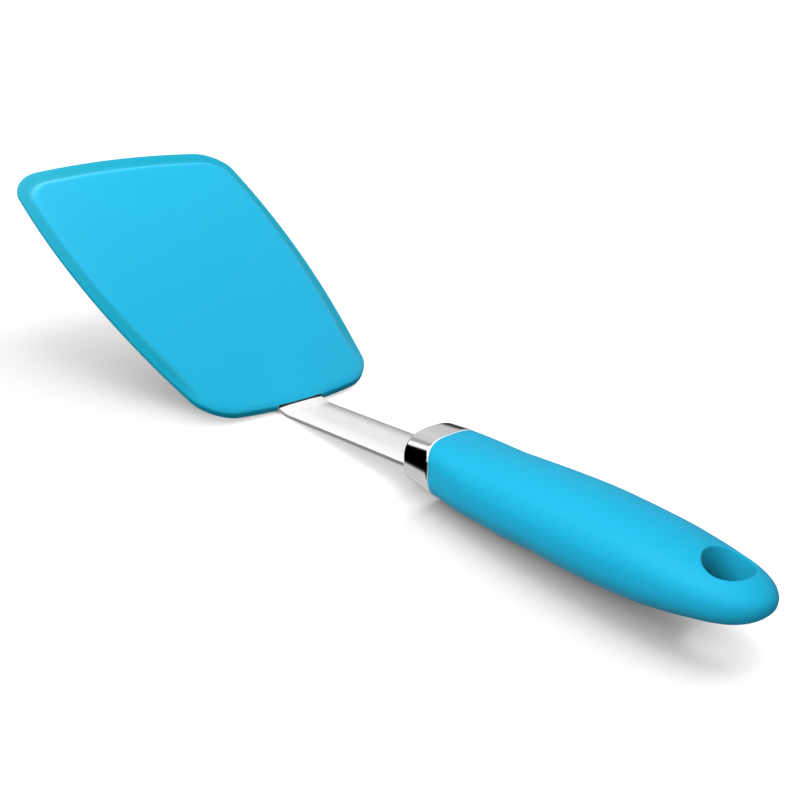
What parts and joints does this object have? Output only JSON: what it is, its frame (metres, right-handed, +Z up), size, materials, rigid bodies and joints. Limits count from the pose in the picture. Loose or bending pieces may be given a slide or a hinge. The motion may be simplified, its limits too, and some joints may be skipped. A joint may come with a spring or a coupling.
{
  "type": "silicone turner",
  "caption": "Flexible silicone turner: broad steel-cored blade on a bent flat shank, polished ferrule and oval soft-sleeved handle with a hanging hole.",
  "frame": {"origin": "on the table plane, half way along the turner's plan length and on its plane of symmetry, with the turner lying at rest on the bend of its shank and the belly of its handle", "axes": "+X runs along the table from the blade towards the handle's end, +Z is up, Y is across the blade"},
  "size_m": [0.326, 0.0948, 0.0665],
  "materials": {
    "silicone": "satin sky-blue moulded silicone",
    "spring_steel": "bare spring steel",
    "rivet_steel": "bare steel",
    "strip_steel": "satin stainless steel",
    "polished_steel": "mirror-polished stainless steel",
    "core_plastic": "plain moulded nylon"
  },
  "bodies": {
    "root": {"blade_silicone": "silicone", "blade_core": "spring_steel", "core_rivets": "rivet_steel", "shank": "strip_steel", "ferrule": "polished_steel", "handle_core": "core_plastic", "handle_grip": "silicone"}
  },
  "joints": []
}
